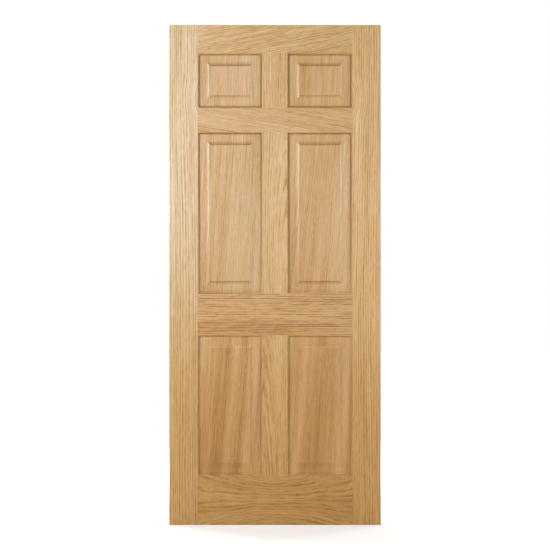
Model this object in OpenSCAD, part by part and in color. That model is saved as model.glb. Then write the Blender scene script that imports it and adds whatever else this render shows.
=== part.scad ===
// Six-panel interior door leaf, framed up from stiles, rails and muntins.
// Every edge that faces a panel carries an ovolo moulding with a panel groove behind it.
// Rail and muntin ends are scribed over that moulding, tongued into the groove and dowelled.
// The origin is at the middle of the bottom edge: X across the leaf, front face towards -Y, Z up.

/* [Leaf] */
// Height of the leaf
leaf_h = 1981; // [1850:1:2150]
// Width of the leaf
leaf_w = 838; // [680:1:930]
// Thickness of the leaf
leaf_t = 35; // [33:1:44]
// Radius of the eased arrises round the outside of the leaf
arris_r = 1.5; // [0.5:0.1:4]

/* [Stiles, rails and muntins] */
// Face width of each stile, from the outer edge to the sight line
stile_w = 112; // [90:1:140]
// Face height of the top rail
top_rail_h = 112; // [85:1:140]
// Face height of the frieze rail, under the top panels
frieze_rail_h = 96; // [80:1:130]
// Face height of the lock rail, under the middle panels
lock_rail_h = 164; // [120:1:200]
// Face height of the bottom rail
bottom_rail_h = 195; // [140:1:240]
// Face width of each muntin, between its sight lines
muntin_w = 96; // [70:1:120]

/* [Panel openings] */
// Height of the top openings, between sight lines
top_opening_h = 217; // [180:1:260]
// Height of the middle openings, between sight lines
middle_opening_h = 640; // [560:1:700]

/* [Moulding and groove] */
// Depth of the square quirk at the sight line
quirk_d = 1; // [0.5:0.1:2]
// Radius of the ovolo, which ends in a square wall down to the panel
ovolo_r = 4.5; // [2:0.1:7]
// Depth of the panel groove
groove_d = 10; // [8:0.5:14]
// Room left at the bottom of the groove for the tongue of a rail or muntin
tongue_gap = 0.5; // [0.2:0.1:2]

/* [Panels] */
// Thickness of the tongue that runs round a panel
tongue_t = 7; // [5:0.5:10]
// Thickness of a panel at its flat margin
margin_t = 13; // [12:0.5:18]
// Thickness of a panel at its raised field
field_t = 30; // [22:0.5:32]
// Width of the shadow gap between the moulding and the margin
gap_w = 5; // [2:0.5:8]
// Distance from the sight line to the edge of the field
field_inset = 51; // [42:1:60]
// Width of the cove that rises from the margin to the field
cove_w = 20; // [14:1:26]
// Height of the square shoulder round the field
shoulder_h = 1; // [0.5:0.1:2]
// Room that a panel has to swell in each groove
swell_gap = 2; // [1:0.5:4]
// Slip clearance on each face of the tongue of a panel
slip_gap = 0.2; // [0.1:0.05:0.4]

/* [Dowels] */
// Diameter of the dowels between rails and stiles
rail_dowel_d = 12; // [10:1:16]
// Length of the dowels between rails and stiles
rail_dowel_l = 100; // [80:1:120]
// Diameter of the dowels between muntins and rails
muntin_dowel_d = 10; // [8:1:12]
// Length of the dowels between muntins and rails
muntin_dowel_l = 60; // [40:1:80]
// Chamfer at each end of a dowel
dowel_chamfer = 1.5; // [0.5:0.1:3]
// Glue clearance round a dowel in its hole
dowel_gap = 0.1; // [0.05:0.05:0.3]
// Room for glue past each end of a dowel
dowel_end_gap = 1; // [0.5:0.5:3]

/* [Hidden] */
$fn = 96;
// Overlap that carries a cut clear through a face
cut = 1;

// Moulding and groove
stick_w = ovolo_r;
stick_d = quirk_d + ovolo_r;
groove_w = tongue_t + 2 * slip_gap;
// Floor of the groove and end of a tongue in it, from the sight line towards the opening
groove_floor = stick_w - groove_d;
tongue_end = groove_floor + tongue_gap;

// Openings across the leaf
opening_w = (leaf_w - 2 * stile_w - muntin_w) / 2;
opening_x = (muntin_w + opening_w) / 2;
stile_sight_x = leaf_w / 2 - stile_w;

// Lower and upper sight line of each rail, from the bottom up
top_rail_z = leaf_h - top_rail_h;
frieze_rail_z = top_rail_z - top_opening_h - frieze_rail_h;
lock_rail_z = frieze_rail_z - middle_opening_h - lock_rail_h;
bottom_opening_h = lock_rail_z - bottom_rail_h;

// Panels
panel_edge = groove_floor + swell_gap;
cove_rise = (field_t - margin_t) / 2 - shoulder_h;
cove_r = (cove_w * cove_w + cove_rise * cove_rise) / (2 * cove_rise);

// Rails from the bottom up, as [lower sight line, face height, dowels at each end, moulded edge]
RAILS = [
    [0, bottom_rail_h, 3, "upper"],
    [lock_rail_z, lock_rail_h, 3, "both"],
    [frieze_rail_z, frieze_rail_h, 2, "both"],
    [top_rail_z, top_rail_h, 2, "lower"]
];
// Openings from the bottom up, as [lower sight line, height]. Each has a muntin between two panels
// and lies between the rail with the same index and the next one.
OPENINGS = [
    [bottom_rail_h, bottom_opening_h],
    [lock_rail_z + lock_rail_h, middle_opening_h],
    [frieze_rail_z + frieze_rail_h, top_opening_h]
];
MUNTIN_DOWELS = 2;

OAK = [0.80, 0.63, 0.42];
OAK_RAIL = [0.77, 0.60, 0.39];
OAK_PANEL = [0.78, 0.60, 0.41];
BEECH = [0.86, 0.72, 0.55];

// Sections

// What the moulding cutter and the groove cutter take from an edge whose sight line is at u = 0
module moulded_edge_cut() {
    for (side = [-1, 1])
        difference() {
            translate([0, side > 0 ? leaf_t / 2 - stick_d : -leaf_t / 2 - cut])
                square([stick_w + cut, stick_d + cut]);
            translate([0, side * (leaf_t / 2 - stick_d)])
                circle(ovolo_r);
        }
    translate([groove_floor, -groove_w / 2])
        square([groove_d + cut, groove_w]);
}

// Section of a member from u = 0 to its face width, moulded on one edge or both
module member_section(face, both_edges) {
    start = both_edges ? -stick_w : 0;
    difference() {
        translate([start, -leaf_t / 2])
            square([face + stick_w - start, leaf_t]);
        translate([face, 0])
            moulded_edge_cut();
        if (both_edges)
            mirror([1, 0])
                moulded_edge_cut();
    }
}

// Section of the tongue at the end of a member, which fills the groove that it enters
module tongue_section(face, both_edges) {
    start = both_edges ? -groove_floor : 0;
    translate([start, -groove_w / 2])
        square([face + groove_floor - start, groove_w]);
}

// Section through a panel of the given size: tongue, flat margin, cove, shoulder and field
module panel_section(size) {
    margin = size - 2 * (stick_w + gap_w - panel_edge);
    field = size - 2 * (field_inset - panel_edge);
    square([size, tongue_t], center = true);
    square([margin, margin_t], center = true);
    square([field, field_t], center = true);
    for (side_u = [0, 1], side_v = [0, 1])
        mirror([side_u, 0])
            mirror([0, side_v])
                difference() {
                    translate([field / 2 - cut, 0])
                        square([cove_w + cut, field_t / 2]);
                    translate([field / 2 + cove_w, margin_t / 2 + cove_r])
                        circle(cove_r, $fn = 4 * $fn);
                }
}

// Rectangle with rounded corners
module eased_rectangle(size) {
    square([size.x, size.y - 2 * arris_r], center = true);
    square([size.x - 2 * arris_r, size.y], center = true);
    for (u = [-1, 1], v = [-1, 1])
        translate([u * (size.x / 2 - arris_r), v * (size.y / 2 - arris_r)])
            circle(arris_r);
}

// Solids

// Lays an extrusion along X, with its section's first axis up and its second across the thickness
module along_x(length) {
    rotate([0, -90, 0])
        linear_extrude(length, center = true)
            children();
}

// The whole leaf as one block with eased arrises, which trims the outside of its members
module leaf_block() {
    intersection() {
        linear_extrude(leaf_h)
            eased_rectangle([leaf_w, leaf_t]);
        translate([0, 0, leaf_h / 2])
            along_x(leaf_w)
                eased_rectangle([leaf_h, leaf_t]);
    }
}

// Left stile with its moulding run past both ends, before trimming and drilling
module stile_run() {
    translate([-leaf_w / 2, 0, -cut])
        linear_extrude(leaf_h + 2 * cut)
            member_section(stile_w, false);
}

// Lays a section along a rail, with its moulded edge up, or down on a rail moulded on its lower edge
module lay_rail(rail, length) {
    flip = rail[3] == "lower" ? 1 : 0;
    translate([0, 0, rail[0] + flip * rail[1]])
        mirror([0, 0, flip])
            along_x(length)
                children();
}

// Rail with its moulding run from sight line to sight line, before scribing and drilling
module rail_run(rail) {
    lay_rail(rail, 2 * stile_sight_x)
        member_section(rail[1], rail[3] == "both");
}

// Rail with its ends scribed to the stiles and tongued into their grooves
module rail_member(rail) {
    difference() {
        union() {
            intersection() {
                rail_run(rail);
                leaf_block();
            }
            lay_rail(rail, 2 * (stile_sight_x - tongue_end))
                tongue_section(rail[1], rail[3] == "both");
        }
        for (side = [0, 1])
            mirror([side, 0, 0])
                stile_run();
        rail_dowel_row(rail, hole = true);
        muntin_dowel_rows(hole = true);
    }
}

// Stile drilled for the dowels of every rail
module stile() {
    difference() {
        intersection() {
            stile_run();
            leaf_block();
        }
        for (rail = RAILS)
            rail_dowel_row(rail, hole = true);
    }
}

// Muntin with its ends scribed to the rails under and over it and tongued into their grooves
module muntin(i) {
    opening = OPENINGS[i];
    difference() {
        translate([-muntin_w / 2, 0, opening[0]]) {
            linear_extrude(opening[1])
                member_section(muntin_w, true);
            translate([0, 0, tongue_end])
                linear_extrude(opening[1] - 2 * tongue_end)
                    tongue_section(muntin_w, true);
        }
        rail_run(RAILS[i]);
        rail_run(RAILS[i + 1]);
        muntin_dowel_rows(hole = true);
    }
}

// Panel with its coves mitred at the corners, standing in its opening
module panel(side, opening) {
    width = opening_w - 2 * panel_edge;
    height = opening[1] - 2 * panel_edge;
    translate([side * opening_x, 0, opening[0] + opening[1] / 2])
        intersection() {
            linear_extrude(height, center = true)
                panel_section(width);
            along_x(width)
                panel_section(height);
        }
}

// Dowel along Z, or the hole for it, centred on the joint
module dowel(diameter, length, hole) {
    if (hole)
        cylinder(d = diameter + 2 * dowel_gap, h = length + 2 * dowel_end_gap, center = true);
    else
        rotate_extrude()
            polygon([
                [0, -length / 2],
                [diameter / 2 - dowel_chamfer, -length / 2],
                [diameter / 2, dowel_chamfer - length / 2],
                [diameter / 2, length / 2 - dowel_chamfer],
                [diameter / 2 - dowel_chamfer, length / 2],
                [0, length / 2]
            ]);
}

// Dowels, or holes, at both ends of one rail
module rail_dowel_row(rail, hole) {
    spacing = rail[1] / rail[2];
    joint_x = stile_sight_x - groove_floor;
    for (side = [-1, 1], i = [0 : rail[2] - 1])
        translate([side * joint_x, 0, rail[0] + (i + 0.5) * spacing])
            rotate([0, 90, 0])
                dowel(rail_dowel_d, rail_dowel_l, hole);
}

// Dowels, or holes, at both ends of every muntin
module muntin_dowel_rows(hole) {
    spacing = muntin_w / MUNTIN_DOWELS;
    for (opening = OPENINGS, end = [0, 1], i = [0 : MUNTIN_DOWELS - 1])
        translate([
            (i + 0.5) * spacing - muntin_w / 2,
            0,
            opening[0] + (end == 0 ? groove_floor : opening[1] - groove_floor)
        ])
            dowel(muntin_dowel_d, muntin_dowel_l, hole);
}

// Sub-parts

module left_stile() { color(OAK) stile(); }
module right_stile() { color(OAK) mirror([1, 0, 0]) stile(); }

module top_rail() { color(OAK_RAIL) rail_member(RAILS[3]); }
module frieze_rail() { color(OAK_RAIL) rail_member(RAILS[2]); }
module lock_rail() { color(OAK_RAIL) rail_member(RAILS[1]); }
module bottom_rail() { color(OAK_RAIL) rail_member(RAILS[0]); }

module top_muntin() { color(OAK) muntin(2); }
module middle_muntin() { color(OAK) muntin(1); }
module bottom_muntin() { color(OAK) muntin(0); }

module top_left_panel() { color(OAK_PANEL) panel(-1, OPENINGS[2]); }
module top_right_panel() { color(OAK_PANEL) panel(1, OPENINGS[2]); }
module middle_left_panel() { color(OAK_PANEL) panel(-1, OPENINGS[1]); }
module middle_right_panel() { color(OAK_PANEL) panel(1, OPENINGS[1]); }
module bottom_left_panel() { color(OAK_PANEL) panel(-1, OPENINGS[0]); }
module bottom_right_panel() { color(OAK_PANEL) panel(1, OPENINGS[0]); }

module rail_dowels() { color(BEECH) for (rail = RAILS) rail_dowel_row(rail, hole = false); }
module muntin_dowels() { color(BEECH) muntin_dowel_rows(hole = false); }

left_stile();
right_stile();
top_rail();
frieze_rail();
lock_rail();
bottom_rail();
top_muntin();
middle_muntin();
bottom_muntin();
top_left_panel();
top_right_panel();
middle_left_panel();
middle_right_panel();
bottom_left_panel();
bottom_right_panel();
rail_dowels();
muntin_dowels();
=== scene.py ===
import math
from dataclasses import dataclass, fields

import bpy
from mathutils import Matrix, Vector


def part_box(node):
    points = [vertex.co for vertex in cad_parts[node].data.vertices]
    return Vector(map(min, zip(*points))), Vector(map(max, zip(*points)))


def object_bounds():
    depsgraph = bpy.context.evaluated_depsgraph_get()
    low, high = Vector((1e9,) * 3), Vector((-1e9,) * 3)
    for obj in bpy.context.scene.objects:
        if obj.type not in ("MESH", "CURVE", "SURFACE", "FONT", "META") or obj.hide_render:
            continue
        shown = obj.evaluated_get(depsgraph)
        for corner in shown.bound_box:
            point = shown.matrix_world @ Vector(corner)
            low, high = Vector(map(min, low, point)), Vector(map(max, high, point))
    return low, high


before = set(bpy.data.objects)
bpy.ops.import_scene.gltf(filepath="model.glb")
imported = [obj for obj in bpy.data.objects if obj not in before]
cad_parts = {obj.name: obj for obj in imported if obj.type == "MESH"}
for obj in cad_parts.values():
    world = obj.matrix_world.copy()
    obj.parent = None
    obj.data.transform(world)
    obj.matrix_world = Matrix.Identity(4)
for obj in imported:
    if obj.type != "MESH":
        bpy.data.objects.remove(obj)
cad_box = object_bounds()

MM = 1000.0
leaf_low, leaf_high = (Vector(corner) for corner in cad_box)
leaf_size = leaf_high - leaf_low
leaf_middle = (leaf_low + leaf_high) / 2

# The photograph is a square picture, with the leaf upright in the middle of it
PICTURE_PIXELS = 550
LEAF_PIXELS = 500.1
SENSOR_MM = 36.0
CAMERA_DISTANCE = 9.0

# Sockets of a Mix node that mixes colours
MIX_FACTOR = 0
MIX_COLOURS = (6, 7)
MIX_RESULT = 2

WHITE = (1.0, 1.0, 1.0)


class Graph:
    """Adds shader nodes to a tree, so that a sum of textures reads like a formula."""

    def __init__(self, tree):
        self.tree = tree

    def node(self, kind, inputs=(), **settings):
        node = self.tree.nodes.new(kind)
        for name, value in settings.items():
            setattr(node, name, value)
        for key, value in dict(inputs).items():
            self.set(node.inputs[key], value)
        return node

    def set(self, socket, value):
        if isinstance(value, bpy.types.NodeSocket):
            self.tree.links.new(value, socket)
        else:
            socket.default_value = value

    def math(self, operation, *values):
        return self.node("ShaderNodeMath", dict(enumerate(values)), operation=operation).outputs[0]

    def add(self, first, *rest):
        for value in rest:
            first = self.math("ADD", first, value)
        return first

    def sub(self, first, second):
        return self.math("SUBTRACT", first, second)

    def mul(self, first, *rest):
        for value in rest:
            first = self.math("MULTIPLY", first, value)
        return first

    def div(self, first, second):
        return self.math("DIVIDE", first, second)

    def vector(self, x, y, z):
        return self.node("ShaderNodeCombineXYZ", {0: x, 1: y, 2: z}).outputs[0]

    def split(self, vector):
        return self.node("ShaderNodeSeparateXYZ", {0: vector}).outputs

    def step(self, value, low, high, start=0.0, end=1.0):
        """Smooth change from start to end while value goes from low to high."""
        inputs = {"Value": value, "From Min": low, "From Max": high, "To Min": start, "To Max": end}
        return self.node("ShaderNodeMapRange", inputs, interpolation_type="SMOOTHSTEP").outputs[0]

    def noise(self, vector, detail=2.0, roughness=0.5):
        """Noise from about -1 to 1."""
        inputs = {"Vector": vector, "Scale": 1.0, "Detail": detail, "Roughness": roughness}
        value = self.node("ShaderNodeTexNoise", inputs).outputs[0]
        return self.math("MULTIPLY_ADD", value, 2.0, -1.0)

    def ramp(self, value, stops):
        node = self.node("ShaderNodeValToRGB", {0: value})
        elements = node.color_ramp.elements
        while len(elements) < len(stops):
            elements.new(1.0)
        for element, (position, colour) in zip(elements, stops):
            element.position = position
            element.color = (*colour, 1.0)
        return node.outputs[0]

    def blend(self, factor, first, second, mode="MIX"):
        node = self.node("ShaderNodeMix", {MIX_FACTOR: factor}, data_type="RGBA", blend_type=mode)
        for key, value in zip(MIX_COLOURS, (first, second)):
            if not isinstance(value, bpy.types.NodeSocket):
                value = (*value, 1.0)
            self.set(node.inputs[key], value)
        return node.outputs[MIX_RESULT]

    def tint(self, colour, factors):
        """The colour times factors for red, green and blue."""
        return self.blend(1.0, colour, factors, "MULTIPLY")


@dataclass
class Board:
    """One board's own grain. Lengths are millimetres, from the board's middle."""
    seed: float
    lean: float = 0.0            # slope of the grain from the board's length
    wander: float = 10.0         # how far the grain strays sideways
    ripple: float = 2.5          # how far its lines waver
    wave: float = 130.0          # how long their waves are
    fan: float = 0.0             # how much further apart the lines are at FAN_REACH from the middle
    ring: float = 6.5            # width of a year's growth
    lines: float = 1.0           # strength of the dark lines of open early wood
    streaks: float = 1.0         # strength of the long streaks
    ticks: float = 1.0           # strength of the short streaks
    flecks: float = 0.3          # strength of the pale ray flecks
    bands: float = 1.0           # strength of the broad bands of colour
    pith: tuple = (300, 60, 0)   # heart of the tree: across, through, and its tilt along the board
    knot: tuple = (0, 0, 0)      # where the grain passes a knot: across, along, and how far it gives way
    tone: tuple = WHITE          # factors of red, green and blue that set the board off from the next, partly painted light
    foot: tuple = None           # its tone at the foot of the leaf, where that is another


NUMBER_FIELDS = [field.name for field in fields(Board) if field.type is float]

# Board tones: partly the wood's own, partly painted light, paler and bluer on the left stile and upper left
# panels for a painted sheen, darker on the lower boards for painted shade
PALE_AND_SHEEN = (1.06, 1.21, 1.74)
PALE_AND_SHEEN_FOOT = (1.01, 1.07, 1.34)
FAIR = (1.01, 1.02, 1.06)
CREAM = (1.02, 1.07, 1.24)
MILK = (1.00, 1.01, 1.13)
ROSY = (0.955, 0.97, 1.15)
FAWN = (0.96, 0.95, 1.00)
TAN = (0.92, 0.89, 0.94)
BROWN = (0.93, 0.94, 1.05)
DEEP = (0.91, 0.90, 0.92)
DARK = (0.91, 0.90, 0.84)
BEECH = (1.35, 1.55, 2.20)

# Grain of the stiles, of the panels and of the dowels
STRAIGHT = {"ripple": 4, "ring": 9.4, "lines": 1.15, "streaks": 0.8, "ticks": 0.5}
SMOOTH = {"lines": 0.7, "streaks": 0.75, "ticks": 0.5, "flecks": 0.9}
TURNED = {"wander": 2, "pith": (0, 30, 0), "ring": 3.0, "lines": 0.3, "tone": BEECH}

BOARDS = {
    "left_stile": Board(
        seed=9.4, lean=0.004, wander=12, pith=(-420, 60, 0), knot=(55, 700, 24),
        tone=PALE_AND_SHEEN, foot=PALE_AND_SHEEN_FOOT, **STRAIGHT,
    ),
    "right_stile": Board(
        seed=8.0, lean=-0.004, wander=14, pith=(420, 60, 0), knot=(-58, 706, -24),
        tone=FAIR, **STRAIGHT,
    ),
    "top_rail": Board(seed=12.0, lean=-0.20, pith=(190, 60, 0), tone=MILK),
    "frieze_rail": Board(
        seed=11.2, lean=0.18, pith=(-170, 70, 0), streaks=0.7, ticks=0.7, tone=TAN,
    ),
    "lock_rail": Board(
        seed=9.8, lean=0.004, wander=7, pith=(300, 40, 0), lines=2.3, streaks=0.75, ticks=0.7, tone=FAWN,
    ),
    "bottom_rail": Board(
        seed=9.6, wander=14, ripple=9, wave=110, fan=3.2, ring=11, pith=(-320, 60, 0),
        streaks=0.8, ticks=0.8, tone=DARK,
    ),
    "top_muntin": Board(
        seed=13.0, lean=0.006, wander=8, pith=(180, 60, 0), streaks=0.8, ticks=0.7, tone=MILK,
    ),
    "middle_muntin": Board(
        seed=16.4, lean=0.020, wander=14, pith=(50, 70, 0.060), streaks=0.7, ticks=0.6, tone=CREAM,
    ),
    "bottom_muntin": Board(
        seed=15.6, lean=-0.020, wander=16, pith=(-52, 70, 0.070), streaks=0.9, ticks=0.8, tone=CREAM,
    ),
    "top_left_panel": Board(seed=15.4, lean=-0.03, wander=8, pith=(-420, 60, 0), tone=ROSY, **SMOOTH),
    "top_right_panel": Board(seed=17.6, lean=-0.04, wander=8, pith=(420, 60, 0), tone=TAN, **SMOOTH),
    "middle_left_panel": Board(seed=16.2, lean=-0.07, pith=(-460, 60, 0), bands=1.4, tone=ROSY, **SMOOTH),
    "middle_right_panel": Board(seed=19.0, lean=-0.10, pith=(460, 60, 0), bands=1.4, tone=TAN, **SMOOTH),
    "bottom_left_panel": Board(
        seed=19.4, lean=-0.08, wander=14, pith=(-300, 60, 0), bands=2.4, tone=BROWN, **SMOOTH,
    ),
    "bottom_right_panel": Board(
        seed=20.4, lean=-0.08, wander=14, pith=(320, 60, 0), bands=2.4, tone=DEEP, **SMOOTH,
    ),
    "rail_dowels": Board(seed=16, **TURNED),
    "muntin_dowels": Board(seed=17, **TURNED),
}
# The grain of these runs across the leaf, and of the others up it
ACROSS_THE_LEAF = {"top_rail", "frieze_rail", "lock_rail", "bottom_rail", "rail_dowels"}

# The grain's run, in millimetres
SEED_STEPS = (37.7, 53.3, 91.9)      # how far a board's seed moves its noise: across, through and along
SWAY_WIDTH = 260.0
SWAY_WAVES = 7.0                     # length of the slow sway, in waves
RIPPLE_SLIMNESS = 3.5                # length of a ripple's wave over its width
FAN_REACH = 500.0
KNOT_WIDTH = 45.0
KNOT_LENGTH = 60.0

# Growth rings
PITH_SWAY = 0.35                     # share of the grain's sway that the pith line has too
YEARS_CHANGE = 0.23                  # how fast good and bad years follow one another
YEARS_DIFFER = 0.9                   # how far they shift the rings, in years
EARLY_WOOD_STARTS = (0.0, 0.14)      # parts of a year in which the early wood comes
EARLY_WOOD_ENDS = (0.18, 0.78)       # and goes
YEAR_STEP = 0.73                     # how far apart two years are in the noise that makes lines strong
YEAR_LINE_LENGTH = 420.0             # how long a line stays strong, in millimetres
BREAKS = 1.2                         # how much lines are broken
BROKEN_TO_WHOLE = (-0.45, 0.55)
FAINTEST_LINE = 0.15
RING_BREADTH = 80.0                  # how far along a ring its streaks reach, in millimetres
FLAT_TO_UPRIGHT_RINGS = (0.0, 0.6)   # where rings lie level with the face, streaks are fainter
FLAT_RING_STREAKS = 0.65

# How much of a noise becomes a pale streak, a pore or a fleck
PALE_STREAK_EDGE = (0.22, 0.55)
PORE_EDGE = (0.20, 0.44)
LATE_WOOD_PORES = 0.25               # share of the pores that the late wood has
FLECK_EDGE = (0.10, 0.42)
FLECK_CHANCE = (0.72, 0.80)
FLECK_ZONE = (-0.1, 0.5)
# Flecks, in millimetres. Over a slope's length they lean across the grain by their own width
FLECK_WIDTH = 5.0
FLECK_LENGTH = 13.0
FLECK_DEPTH = 30.0
FLECK_SLOPE = 40.0

# How far each pattern moves the colour along OAK_COLOURS from plain wood's place on it
PLAIN_COLOUR = 0.56
COLOUR_SHARE = {
    "broad": 0.20,
    "streak": 0.26,
    "tick": 0.26,
    "dash": 0.20,
    "fine": 0.14,
    "fibre": 0.08,
    "pale": 0.22,
    "flecks": 0.22,
    "lines": -0.30,
    "pores": -0.16,
}
# Patterns whose part in the colour follows one of a board's own strengths
STRENGTH = {
    "broad": "bands",
    "streak": "streaks",
    "tick": "ticks",
    "dash": "ticks",
    "fine": "streaks",
    "pale": "streaks",
}
# How far each pattern moves the roughness, and the surface's height in units of the bump's distance (metres)
PLAIN_ROUGHNESS = 0.40
ROUGHNESS_SHARE = {"pores": 0.22, "fine": 0.03, "early": 0.03}
HEIGHT_SHARE = {"pores": -1.0, "fibre": 0.12, "early": -0.15}
BUMP = {"Strength": 0.25, "Distance": 0.0002}

# Oak under clear satin lacquer, from the darkest pore to the palest fleck
OAK_COLOURS = [
    (0.00, (0.170, 0.070, 0.006)),
    (0.28, (0.310, 0.155, 0.022)),
    (0.50, (0.412, 0.232, 0.058)),
    (0.72, (0.495, 0.300, 0.100)),
    (1.00, (0.580, 0.378, 0.165)),
]
# Two hues between which a board drifts
PINKISH = (1.020, 0.985, 0.990)
OLIVE = (0.985, 1.005, 0.965)
HUE_DRIFT = (-0.45, 0.45)
# Painted light: darker and more saturated towards the foot of the leaf, paler and bluer with a painted sheen
# towards its head. Changes run between two heights, in millimetres
FOOT_SHADE = (0.87, 0.81, 0.805)
HEAD_SHEEN = (1.02, 1.12, 1.72)
FOOT_SHADE_TO_HEAD_SHEEN = (350.0, 1250.0)
# Painted shade in the moulding and in the gap round each panel, where the recess lies in shade. Low on the
# leaf painted light makes them paler
GROOVE_SHADE = (0.84, 0.69, 0.38)
LOW_MOULDING_LIGHT = (1.06, 1.06, 1.02)
LOW_GAP_LIGHT = (1.44, 1.48, 1.45)
LIT_TO_SHADED_GROOVES = (760.0, 1500.0)
# End grain takes up more lacquer and is darker; the same tint paints shade on the coves that face up and
# down. Low on the leaf painted light makes it and the coves paler
END_GRAIN_AND_SHADE = (0.82, 0.74, 0.58)
LOW_END_GRAIN_LIGHT = (1.24, 1.31, 1.46)
LOW_COVE_LIGHT = (1.13, 1.14, 1.16)
LIT_TO_SHADED_ENDS = (740.0, 940.0)
# Painted shade on the leaf's outer arrises, darker and greyer, by this share
ARRIS_SHADE = (0.66, 0.69, 0.82)
ARRIS_SHADE_SHARE = 0.8

# In millimetres: how deep under a member's face its moulding and arrises lie, how far inside the leaf's edges
# the moulding is, and how far from the middle of a panel's thickness its gap ends and its margin starts
MOULDING_DEPTH = (0.3, 0.9)
ARRIS_STARTS = (0.05, 0.6)
ARRIS_ENDS = (1.2, 2.2)
INSIDE_LEAF = (40.0, 60.0)
GAP_TO_MARGIN = (5.4, 6.2)
# A cove's normal has less than this towards the front or back. End grain's has more than this along the grain
COVE_TILT = (0.76, 0.98)
END_GRAIN_TILT = (0.1, 0.65)

OAK_INPUTS = {
    "NodeSocketVector": ["position", "pith", "knot"],
    "NodeSocketColor": ["tone", "foot"],
    "NodeSocketFloat": [*NUMBER_FIELDS, "height", "gap", "cove", "moulding", "arris", "end grain"],
}
OAK_OUTPUTS = {"Colour": "NodeSocketColor", "Roughness": "NodeSocketFloat", "Normal": "NodeSocketVector"}


class Oak(Graph):
    """Oak's patterns, in millimetres across a board, through it and along it."""

    def __init__(self, tree):
        super().__init__(tree)
        self.given = self.node("NodeGroupInput").outputs
        self.across, self.through, self.along = self.split(self.given["position"])
        self.shift = [self.mul(self.given["seed"], step) for step in SEED_STEPS]
        self.follow_grain()
        self.grow_rings()

    def grain_noise(self, across, width, length, detail=2.0, roughness=0.5, lift=0.0):
        """Noise whose grains are width wide and length long. Its lift sets it apart from the others."""
        place = self.vector(
            self.add(self.div(across, width), self.shift[0], lift),
            self.add(self.div(self.through, width), self.shift[1]),
            self.add(self.div(self.along, length), self.shift[2]),
        )
        return self.noise(place, detail, roughness)

    def ring_noise(self, width, length, detail=2.0, lift=0.0):
        """The same, but following the growth rings."""
        place = self.vector(
            self.add(self.div(self.radius, width), self.shift[0], lift),
            self.add(self.div(self.side, RING_BREADTH), self.shift[1]),
            self.add(self.div(self.along, length), self.shift[2]),
        )
        return self.noise(place, detail)

    def follow_grain(self):
        """Finds how far to the side of the grain a point lies. Every finer pattern follows from that."""
        wave = self.given["wave"]
        slow = self.grain_noise(self.across, SWAY_WIDTH, self.mul(wave, SWAY_WAVES), detail=1.0)
        quick = self.grain_noise(self.across, self.div(wave, RIPPLE_SLIMNESS), wave, lift=7.3)
        self.sway = self.mul(self.given["wander"], slow)
        ripple = self.mul(self.given["ripple"], quick)
        lean = self.mul(self.given["lean"], self.along)
        fan = self.math("POWER", self.div(self.along, FAN_REACH), 2.0)
        spread = self.add(1.0, self.mul(self.given["fan"], fan))
        self.side = self.add(self.div(self.across, spread), lean, self.sway, ripple, self.knot_push())

    def knot_push(self):
        """How far the grain gives way to a knot."""
        knot_across, knot_along, push = self.split(self.given["knot"])
        across = self.div(self.sub(self.across, knot_across), KNOT_WIDTH)
        along = self.div(self.sub(self.along, knot_along), KNOT_LENGTH)
        squares = self.add(self.mul(across, across), self.mul(along, along))
        return self.mul(push, self.math("EXPONENT", self.mul(squares, -1.0)))

    def grow_rings(self):
        """Growth rings round a pith line that runs beside or under the board."""
        pith_across, pith_through, pith_tilt = self.split(self.given["pith"])
        aside = self.sub(self.side, pith_across)
        tilt = self.mul(pith_tilt, self.along)
        over = self.add(self.through, pith_through, tilt, self.mul(self.sway, PITH_SWAY))
        self.radius = self.math("SQRT", self.add(self.mul(aside, aside), self.mul(over, over)))
        even = self.div(self.radius, self.given["ring"])
        uneven = self.noise(self.vector(self.mul(even, YEARS_CHANGE), self.shift[0], self.shift[1]))
        turns = self.add(even, self.mul(YEARS_DIFFER, uneven))
        self.year = self.math("FLOOR", turns)
        season = self.math("FRACT", turns)
        starts = self.step(season, *EARLY_WOOD_STARTS)
        self.early = self.mul(starts, self.step(season, *EARLY_WOOD_ENDS, 1.0, 0.0))
        self.slant = self.div(self.math("ABSOLUTE", aside), self.radius)

    def year_lines(self):
        """Dark lines of early wood, strong in some years and broken in others."""
        along = self.div(self.along, YEAR_LINE_LENGTH)
        place = self.vector(self.mul(self.year, YEAR_STEP), self.shift[1], along)
        broken = self.grain_noise(self.side, width=6.0, length=45.0, lift=13.7)
        strong = self.add(self.noise(place, detail=1.0), self.mul(broken, BREAKS))
        strong = self.step(strong, *BROKEN_TO_WHOLE)
        share = self.math("MULTIPLY_ADD", strong, 1.0 - FAINTEST_LINE, FAINTEST_LINE)
        return self.mul(self.early, share, self.given["lines"])

    def open_pores(self):
        """Short open pores, most of them in the early wood."""
        pores = self.grain_noise(self.side, width=0.8, length=9.0, detail=1.0, lift=29.0)
        share = self.math("MULTIPLY_ADD", self.early, 1.0 - LATE_WOOD_PORES, LATE_WOOD_PORES)
        return self.mul(self.step(pores, *PORE_EDGE), share)

    def ray_flecks(self):
        """Short pale lenses that lie a little across the grain, in some zones of a board."""
        place = self.vector(
            self.add(self.div(self.side, FLECK_WIDTH), self.div(self.along, FLECK_SLOPE), self.shift[0]),
            self.div(self.through, FLECK_DEPTH),
            self.add(self.div(self.along, FLECK_LENGTH), self.shift[1]),
        )
        cell = self.node("ShaderNodeTexVoronoi", {"Vector": place, "Scale": 1.0, "Randomness": 1.0}).outputs
        chance = self.node("ShaderNodeSeparateColor", {0: cell["Color"]}).outputs[0]
        zone = self.grain_noise(self.side, width=60.0, length=260.0, detail=1.0, lift=31.0)
        return self.mul(
            self.step(cell["Distance"], *FLECK_EDGE, 1.0, 0.0),
            self.step(chance, *FLECK_CHANCE),
            self.step(zone, *FLECK_ZONE),
            self.given["flecks"],
        )

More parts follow.
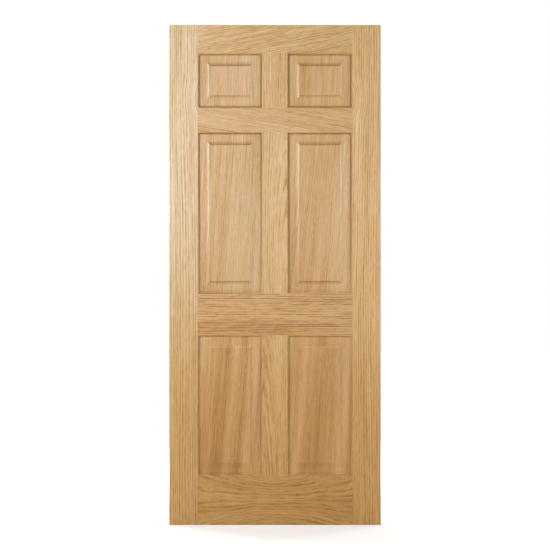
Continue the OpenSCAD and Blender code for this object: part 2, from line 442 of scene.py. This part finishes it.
    def patterns(self):
        """Every pattern that shows in the wood, by name."""
        upright = self.step(self.slant, *FLAT_TO_UPRIGHT_RINGS, FLAT_RING_STREAKS, 1.0)
        pale = self.ring_noise(width=3.5, length=200.0, detail=1.0, lift=51.0)
        return {
            "broad": self.grain_noise(self.side, width=42.0, length=1300.0, detail=1.0, lift=3.1),
            "streak": self.mul(self.ring_noise(width=6.0, length=260.0, lift=11.0), upright),
            "tick": self.mul(self.ring_noise(width=4.0, length=38.0, lift=15.0), upright),
            "dash": self.grain_noise(self.side, width=3.2, length=16.0, lift=17.0),
            "fine": self.grain_noise(self.side, width=2.0, length=90.0, detail=3.0, roughness=0.6, lift=19.0),
            "fibre": self.grain_noise(self.side, width=0.55, length=26.0, roughness=0.6, lift=23.0),
            "pale": self.step(pale, *PALE_STREAK_EDGE),
            "flecks": self.ray_flecks(),
            "lines": self.year_lines(),
            "pores": self.open_pores(),
            "early": self.early,
        }

    def wood_colour(self, patterns):
        """The bare wood's colour: the patterns together, on a hue that drifts."""
        depth = PLAIN_COLOUR
        for name, share in COLOUR_SHARE.items():
            shown = self.mul(patterns[name], share)
            if name in STRENGTH:
                shown = self.mul(shown, self.given[STRENGTH[name]])
            depth = self.add(depth, shown)
        drift = self.grain_noise(self.side, width=38.0, length=900.0, detail=1.0, lift=43.0)
        hue = self.blend(self.step(drift, *HUE_DRIFT), PINKISH, OLIVE)
        return self.tint(self.ramp(depth, OAK_COLOURS), hue)

    def finished(self, colour):
        """The colour under the board's own tone and painted light that follows height and the leaf's shape.
        """
        given = self.given
        up = self.step(given["height"], *FOOT_SHADE_TO_HEAD_SHEEN)
        # Painted light by height: shaded at the foot, a painted sheen at the head
        colour = self.tint(colour, self.blend(up, given["foot"], given["tone"]))
        colour = self.tint(colour, self.blend(up, FOOT_SHADE, HEAD_SHEEN))
        shaded_grooves = self.step(given["height"], *LIT_TO_SHADED_GROOVES)
        shaded_ends = self.step(given["height"], *LIT_TO_SHADED_ENDS)
        # Painted shade in gaps, mouldings, coves' end grain and arrises, with painted light low on the leaf
        tints = (
            (given["gap"], self.blend(shaded_grooves, LOW_GAP_LIGHT, GROOVE_SHADE)),
            (given["cove"], self.blend(shaded_ends, LOW_COVE_LIGHT, WHITE)),
            (given["moulding"], self.blend(shaded_grooves, LOW_MOULDING_LIGHT, GROOVE_SHADE)),
            (given["arris"], ARRIS_SHADE),
            (self.step(given["end grain"], *END_GRAIN_TILT), self.blend(shaded_ends, LOW_END_GRAIN_LIGHT, END_GRAIN_AND_SHADE)),
        )
        for amount, tint in tints:
            colour = self.blend(amount, colour, self.tint(colour, tint))
        return colour

    def weighted_sum(self, start, patterns, shares):
        """Start plus each pattern times its share."""
        return self.add(start, *(self.mul(patterns[name], share) for name, share in shares.items()))


def oak_group():
    """Node group with a board's values and painted light amounts as inputs, and the finished oak as outputs.
    """
    tree = bpy.data.node_groups.new("oak", "ShaderNodeTree")
    for kind, names in OAK_INPUTS.items():
        for name in names:
            tree.interface.new_socket(name, in_out="INPUT", socket_type=kind)
    for name, kind in OAK_OUTPUTS.items():
        tree.interface.new_socket(name, in_out="OUTPUT", socket_type=kind)
    oak = Oak(tree)
    patterns = oak.patterns()
    height = oak.weighted_sum(0.0, patterns, HEIGHT_SHARE)
    finish = {
        "Colour": oak.finished(oak.wood_colour(patterns)),
        "Roughness": oak.weighted_sum(PLAIN_ROUGHNESS, patterns, ROUGHNESS_SHARE),
        "Normal": oak.node("ShaderNodeBump", {**BUMP, "Height": height}).outputs[0],
    }
    oak.node("NodeGroupOutput", finish)
    return tree


OAK = oak_group()


def painted_light_amounts(g, name, x, y, z, normal_y):
    """How much painted shade or light each of a panel's gap and coves, or a member's moulding and arrises,
    takes.
    """
    off_middle = g.math("ABSOLUTE", y)
    if name.endswith("panel"):
        return {
            "gap": g.step(off_middle, *GAP_TO_MARGIN, 1.0, 0.0),
            "cove": g.step(g.math("ABSOLUTE", normal_y), *COVE_TILT, 1.0, 0.0),
        }
    under_face = g.sub(leaf_size.y / 2 * MM, off_middle)
    from_side = g.sub(leaf_size.x / 2 * MM, g.math("ABSOLUTE", x))
    from_end = g.sub(leaf_size.z / 2 * MM, g.math("ABSOLUTE", g.sub(z, leaf_middle.z * MM)))
    inside = g.step(g.math("MINIMUM", from_side, from_end), *INSIDE_LEAF)
    rounded = g.mul(g.step(under_face, *ARRIS_STARTS), g.step(under_face, *ARRIS_ENDS, 1.0, 0.0))
    return {
        "moulding": g.mul(g.step(under_face, *MOULDING_DEPTH), inside),
        "arris": g.mul(rounded, g.sub(1.0, inside), ARRIS_SHADE_SHARE),
    }


def oak_material(name, board):
    """Oak for one node, with its grain along the board and painted shade and light where the leaf's shape
    puts them.
    """
    material = bpy.data.materials.new(f"oak_{name}")
    material.use_nodes = True
    g = Graph(material.node_tree)
    g.tree.nodes.clear()
    low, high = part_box(name)
    middle = (low + high) / 2 * MM
    place = g.node("ShaderNodeTexCoord").outputs
    x, y, z = (g.mul(part, MM) for part in g.split(place["Object"]))
    normal_x, normal_y, normal_z = g.split(place["Normal"])
    across, along, end_grain = g.sub(x, middle.x), g.sub(z, middle.z), normal_z
    if name in ACROSS_THE_LEAF:
        across, along, end_grain = along, across, normal_x
    values = {
        **{field: getattr(board, field) for field in NUMBER_FIELDS},
        **painted_light_amounts(g, name, x, y, z, normal_y),
        "position": g.vector(across, y, along),
        "pith": board.pith,
        "knot": board.knot,
        "tone": (*board.tone, 1.0),
        "foot": (*(board.foot or board.tone), 1.0),
        "height": z,
        "end grain": g.math("ABSOLUTE", end_grain),
    }
    oak = g.node("ShaderNodeGroup", values, node_tree=OAK).outputs
    shader = g.node(
        "ShaderNodeBsdfPrincipled",
        {
            "Base Color": oak["Colour"],
            "Roughness": oak["Roughness"],
            "Normal": oak["Normal"],
            "IOR": 1.5,
            "Specular IOR Level": 0.25,
            "Coat Weight": 0.42,
            "Coat Roughness": 0.25,
            "Coat IOR": 1.5,
        },
    )
    g.node("ShaderNodeOutputMaterial", {"Surface": shader.outputs[0]})
    return material


for name, board in BOARDS.items():
    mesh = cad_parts[name].data
    mesh.materials.clear()
    mesh.materials.append(oak_material(name, board))

FLOOR_REACH = 20.0
PAPER = (0.86, 0.86, 0.86, 1.0)
# The floor is shown white, but less so this near to the leaf (metres), where its shadow lies
SHADOW_REACH = (0.6, 2.4)
NEAR_WHITE = 0.22
FAR_WHITE = 0.98
# Even light from round about: its strength at the horizon and from above, with the change between two heights
# on a sphere of radius 1
LIGHT_AT_HORIZON = 0.16
LIGHT_FROM_ABOVE = 0.03
HORIZON_TO_ABOVE = (0.0, 0.7)


def seen_directly(g):
    """1 for a ray from the camera, or passed on by gloss or glass, and 0 for a ray that gathers light."""
    path = g.node("ShaderNodeLightPath").outputs
    seen = g.math("MAXIMUM", path["Is Camera Ray"], path["Is Glossy Ray"])
    return g.math("MAXIMUM", seen, path["Is Transmission Ray"])


def make_floor():
    """Pale studio floor, shown white, with the leaf's shadow left on it."""
    mesh = bpy.data.meshes.new("floor")
    signs = ((-1, -1), (1, -1), (1, 1), (-1, 1))
    corners = [(x * FLOOR_REACH, y * FLOOR_REACH, 0) for x, y in signs]
    mesh.from_pydata(corners, [], [(0, 1, 2, 3)])
    floor = bpy.data.objects.new("floor", mesh)
    bpy.context.scene.collection.objects.link(floor)
    material = bpy.data.materials.new("floor_paper")
    material.use_nodes = True
    g = Graph(material.node_tree)
    g.tree.nodes.clear()
    paper = g.node("ShaderNodeBsdfDiffuse", {"Color": PAPER})
    place = g.node("ShaderNodeTexCoord").outputs["Object"]
    from_leaf = g.node("ShaderNodeVectorMath", {0: place}, operation="LENGTH").outputs["Value"]
    strength = g.mul(seen_directly(g), g.step(from_leaf, *SHADOW_REACH, NEAR_WHITE, FAR_WHITE))
    white = g.node("ShaderNodeEmission", {"Color": (*WHITE, 1.0), "Strength": strength})
    shown = g.node("ShaderNodeAddShader", {0: paper.outputs[0], 1: white.outputs[0]})
    g.node("ShaderNodeOutputMaterial", {"Surface": shown.outputs[0]})
    mesh.materials.append(material)


def make_world():
    """White surround to look at. The even light from it is dim, and dimmer from above."""
    world = bpy.data.worlds.new("studio")
    bpy.context.scene.world = world
    world.use_nodes = True
    g = Graph(world.node_tree)
    g.tree.nodes.clear()
    height = g.split(g.node("ShaderNodeTexCoord").outputs["Generated"])[2]
    light = g.step(height, *HORIZON_TO_ABOVE, LIGHT_AT_HORIZON, LIGHT_FROM_ABOVE)
    seen = seen_directly(g)
    strength = g.add(seen, g.mul(light, g.sub(1.0, seen)))
    background = g.node("ShaderNodeBackground", {"Color": (*WHITE, 1.0), "Strength": strength})
    g.node("ShaderNodeOutputWorld", {"Surface": background.outputs[0]})


def softbox(name, place, target, size, power):
    """Rectangular soft light at place, facing target. Lengths are metres, and power is watts."""
    light = bpy.data.lights.new(name, "AREA")
    light.shape = "RECTANGLE"
    light.size, light.size_y = size
    light.energy = power
    lamp = bpy.data.objects.new(name, light)
    lamp.location = place
    lamp.rotation_euler = (Vector(target) - Vector(place)).to_track_quat("-Z", "Y").to_euler()
    lamp.visible_camera = False
    bpy.context.scene.collection.objects.link(lamp)


def make_camera():
    """Camera square to the middle of the leaf, which is as tall in the picture as in the photograph."""
    camera = bpy.data.cameras.new("camera")
    to_face = CAMERA_DISTANCE + leaf_low.y - leaf_middle.y
    picture_size = leaf_size.z * PICTURE_PIXELS / LEAF_PIXELS
    camera.sensor_width = SENSOR_MM
    camera.lens = SENSOR_MM * to_face / picture_size
    holder = bpy.data.objects.new("camera", camera)
    holder.location = leaf_middle + Vector((0, -CAMERA_DISTANCE, 0))
    holder.rotation_euler = (math.pi / 2, 0, 0)
    bpy.context.scene.collection.objects.link(holder)
    bpy.context.scene.camera = holder


make_floor()
make_world()
# In front, the main light is on the left, one on the right evens out the coves, and a low one lights the foot
softbox("sheen", place=(-0.9, -3.3, 1.8), target=(-0.1, 0.0, 1.35), size=(1.2, 1.4), power=24.0)
softbox("left", place=(-2.45, -2.3, 1.74), target=(-0.17, 0.0, 1.33), size=(1.9, 1.0), power=94.0)
softbox("right", place=(2.95, -1.7, 1.7), target=(0.16, 0.0, 1.2), size=(1.4, 1.3), power=54.0)
softbox("low", place=(0.95, -3.3, 0.6), target=(0.0, 0.0, 0.45), size=(0.9, 0.6), power=10.0)
softbox("front_right", place=(0.85, -3.3, 1.7), target=(0.1, 0.0, 1.4), size=(0.6, 1.2), power=8.0)
# The back and the top edge are lit to the front's level
softbox("back_left", place=(-2.4, 2.6, 1.6), target=(0.0, 0.0, 1.0), size=(1.3, 1.6), power=90.0)
softbox("back_right", place=(2.4, 2.9, 1.3), target=(0.0, 0.0, 0.9), size=(1.3, 1.6), power=78.0)
softbox("above", place=(0.0, 1.2, 3.8), target=(0.0, 0.0, 1.9), size=(1.6, 0.8), power=40.0)
make_camera()

scene = bpy.context.scene
scene.view_settings.view_transform = "Standard"
